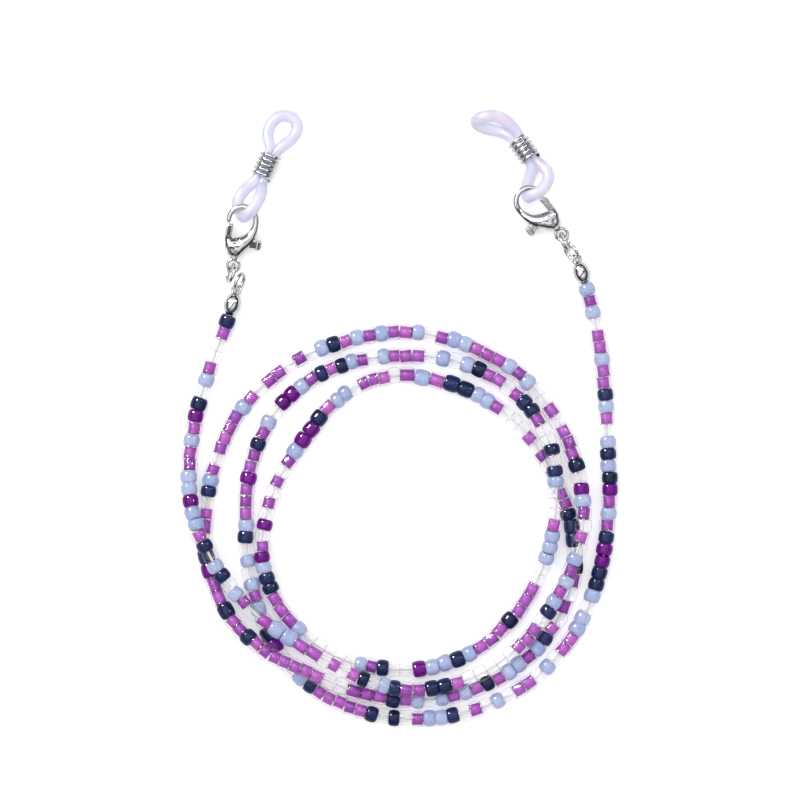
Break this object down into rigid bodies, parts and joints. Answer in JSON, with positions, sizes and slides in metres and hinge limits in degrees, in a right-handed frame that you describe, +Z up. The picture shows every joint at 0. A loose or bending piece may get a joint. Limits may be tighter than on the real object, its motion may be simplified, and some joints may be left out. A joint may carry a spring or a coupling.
{
  "type": "eyeglass retainer strap",
  "caption": "Strand of small glass beads lying in loose turns, with a lobster clasp and a rubber temple loop on each end.",
  "frame": {"origin": "centre of the bounding box in plan, on the surface it lies on", "axes": "+Z up from the surface; +Y from the coil towards the two clasps; +X to the right seen from above"},
  "size_m": [0.0753, 0.1063, 0.0062],
  "materials": {
    "silver": "polished silver-coloured plating",
    "brass": "satin",
    "rubber": "milky translucent, smooth",
    "thread": "multifilament beading thread",
    "spring": "drawn wire",
    "clear_glass": "clear, glossy",
    "lilac_glass": "clear with a lilac lining, glossy",
    "sky_glass": "opaque pearly light blue, glossy",
    "navy_glass": "opaque navy, glossy",
    "purple_glass": "opaque purple, glossy"
  },
  "bodies": {
    "strand": {"beading_thread": "thread", "clear_beads_turn_1": "clear_glass", "clear_beads_turn_2": "clear_glass", "clear_beads_turn_3": "clear_glass", "clear_beads_turn_4": "clear_glass", "left_bead_tip": "silver", "left_crimp_bead": "brass", "lilac_lined_beads_turn_1": "lilac_glass", "lilac_lined_beads_turn_2": "lilac_glass", "lilac_lined_beads_turn_3": "lilac_glass", "lilac_lined_beads_turn_4": "lilac_glass", "navy_beads_turn_1": "navy_glass", "navy_beads_turn_2": "navy_glass", "navy_beads_turn_3": "navy_glass", "navy_beads_turn_4": "navy_glass", "purple_beads_turn_1": "purple_glass", "purple_beads_turn_2": "purple_glass", "purple_beads_turn_3": "purple_glass", "purple_beads_turn_4": "purple_glass", "right_bead_tip": "silver", "right_crimp_bead": "brass", "sky_beads_turn_1": "sky_glass", "sky_beads_turn_2": "sky_glass", "sky_beads_turn_3": "sky_glass", "sky_beads_turn_4": "sky_glass"},
    "left_strand_ring_body": {"left_strand_ring": "silver"},
    "left_clasp_ring_body": {"left_clasp_ring": "silver"},
    "left_clasp": {"left_clasp_body": "silver", "left_lever_pin": "silver", "left_lever_spring": "spring"},
    "left_lever": {"left_clasp_lever": "silver"},
    "left_temple_loop": {"left_rubber_loop": "rubber"},
    "left_adjuster": {"left_adjuster_coil": "silver"},
    "right_strand_ring_body": {"right_strand_ring": "silver"},
    "right_clasp_ring_body": {"right_clasp_ring": "silver"},
    "right_clasp": {"right_clasp_body": "silver", "right_lever_pin": "silver", "right_lever_spring": "spring"},
    "right_lever": {"right_clasp_lever": "silver"},
    "right_temple_loop": {"right_rubber_loop": "rubber"},
    "right_adjuster": {"right_adjuster_coil": "silver"}
  },
  "joints": [
    {"name": "left_strand_ring_swing", "type": "hinge", "parent": "strand", "child": "left_strand_ring_body", "pos_m": [-0.02863, 0.02196, 0.0015], "axis": [0, 0, 1], "range_deg": [-20, 20]},
    {"name": "left_clasp_ring_swing", "type": "hinge", "parent": "left_strand_ring_body", "child": "left_clasp_ring_body", "pos_m": [-0.02881, 0.02405, 0.0017], "axis": [0, 0, 1], "range_deg": [-15, 15]},
    {"name": "left_clasp_swing", "type": "hinge", "parent": "left_clasp_ring_body", "child": "left_clasp", "pos_m": [-0.02914, 0.0262, 0.00145], "axis": [0, 0, 1], "range_deg": [-30, 30]},
    {"name": "left_lever_hinge", "type": "hinge", "parent": "left_clasp", "child": "left_lever", "pos_m": [-0.02882, 0.0299, 0.002], "axis": [0.0206, 0.1446, -0.9893], "range_deg": [0, 20], "stiffness_Nm_per_rad": 0.0004, "springref_deg": -17.19, "deforming": ["left_lever_spring"]},
    {"name": "left_temple_loop_swing", "type": "hinge", "parent": "left_clasp", "child": "left_temple_loop", "pos_m": [-0.02753, 0.03397, 0.00262], "axis": [0, 0, 1], "range_deg": [-8, 8]},
    {"name": "left_adjuster_slide", "type": "slide", "parent": "left_temple_loop", "child": "left_adjuster", "axis": [0.4226, 0.9063, 0], "range_m": [-0.001, 0.001], "deforming": ["left_rubber_loop"]},
    {"name": "right_strand_ring_swing", "type": "hinge", "parent": "strand", "child": "right_strand_ring_body", "pos_m": [0.02996, 0.0273, 0.0015], "axis": [0, 0, 1], "range_deg": [-20, 20]},
    {"name": "right_clasp_ring_swing", "type": "hinge", "parent": "right_strand_ring_body", "child": "right_clasp_ring_body", "pos_m": [0.02856, 0.02934, 0.0017], "axis": [0, 0, 1], "range_deg": [-15, 15]},
    {"name": "right_clasp_swing", "type": "hinge", "parent": "right_clasp_ring_body", "child": "right_clasp", "pos_m": [0.02742, 0.03155, 0.00145], "axis": [0, 0, 1], "range_deg": [-30, 30]},
    {"name": "right_lever_hinge", "type": "hinge", "parent": "right_clasp", "child": "right_lever", "pos_m": [0.02514, 0.03448, 0.002], "axis": [0.0958, -0.1103, 0.9893], "range_deg": [0, 20], "stiffness_Nm_per_rad": 0.0004, "springref_deg": -17.19, "deforming": ["right_lever_spring"]},
    {"name": "right_temple_loop_swing", "type": "hinge", "parent": "right_clasp", "child": "right_temple_loop", "pos_m": [0.02185, 0.03719, 0.00262], "axis": [0, 0, 1], "range_deg": [-8, 8]},
    {"name": "right_adjuster_slide", "type": "slide", "parent": "right_temple_loop", "child": "right_adjuster", "axis": [-0.585, 0.8111, 0], "range_m": [-0.001, 0.001], "deforming": ["right_rubber_loop"]}
  ]
}
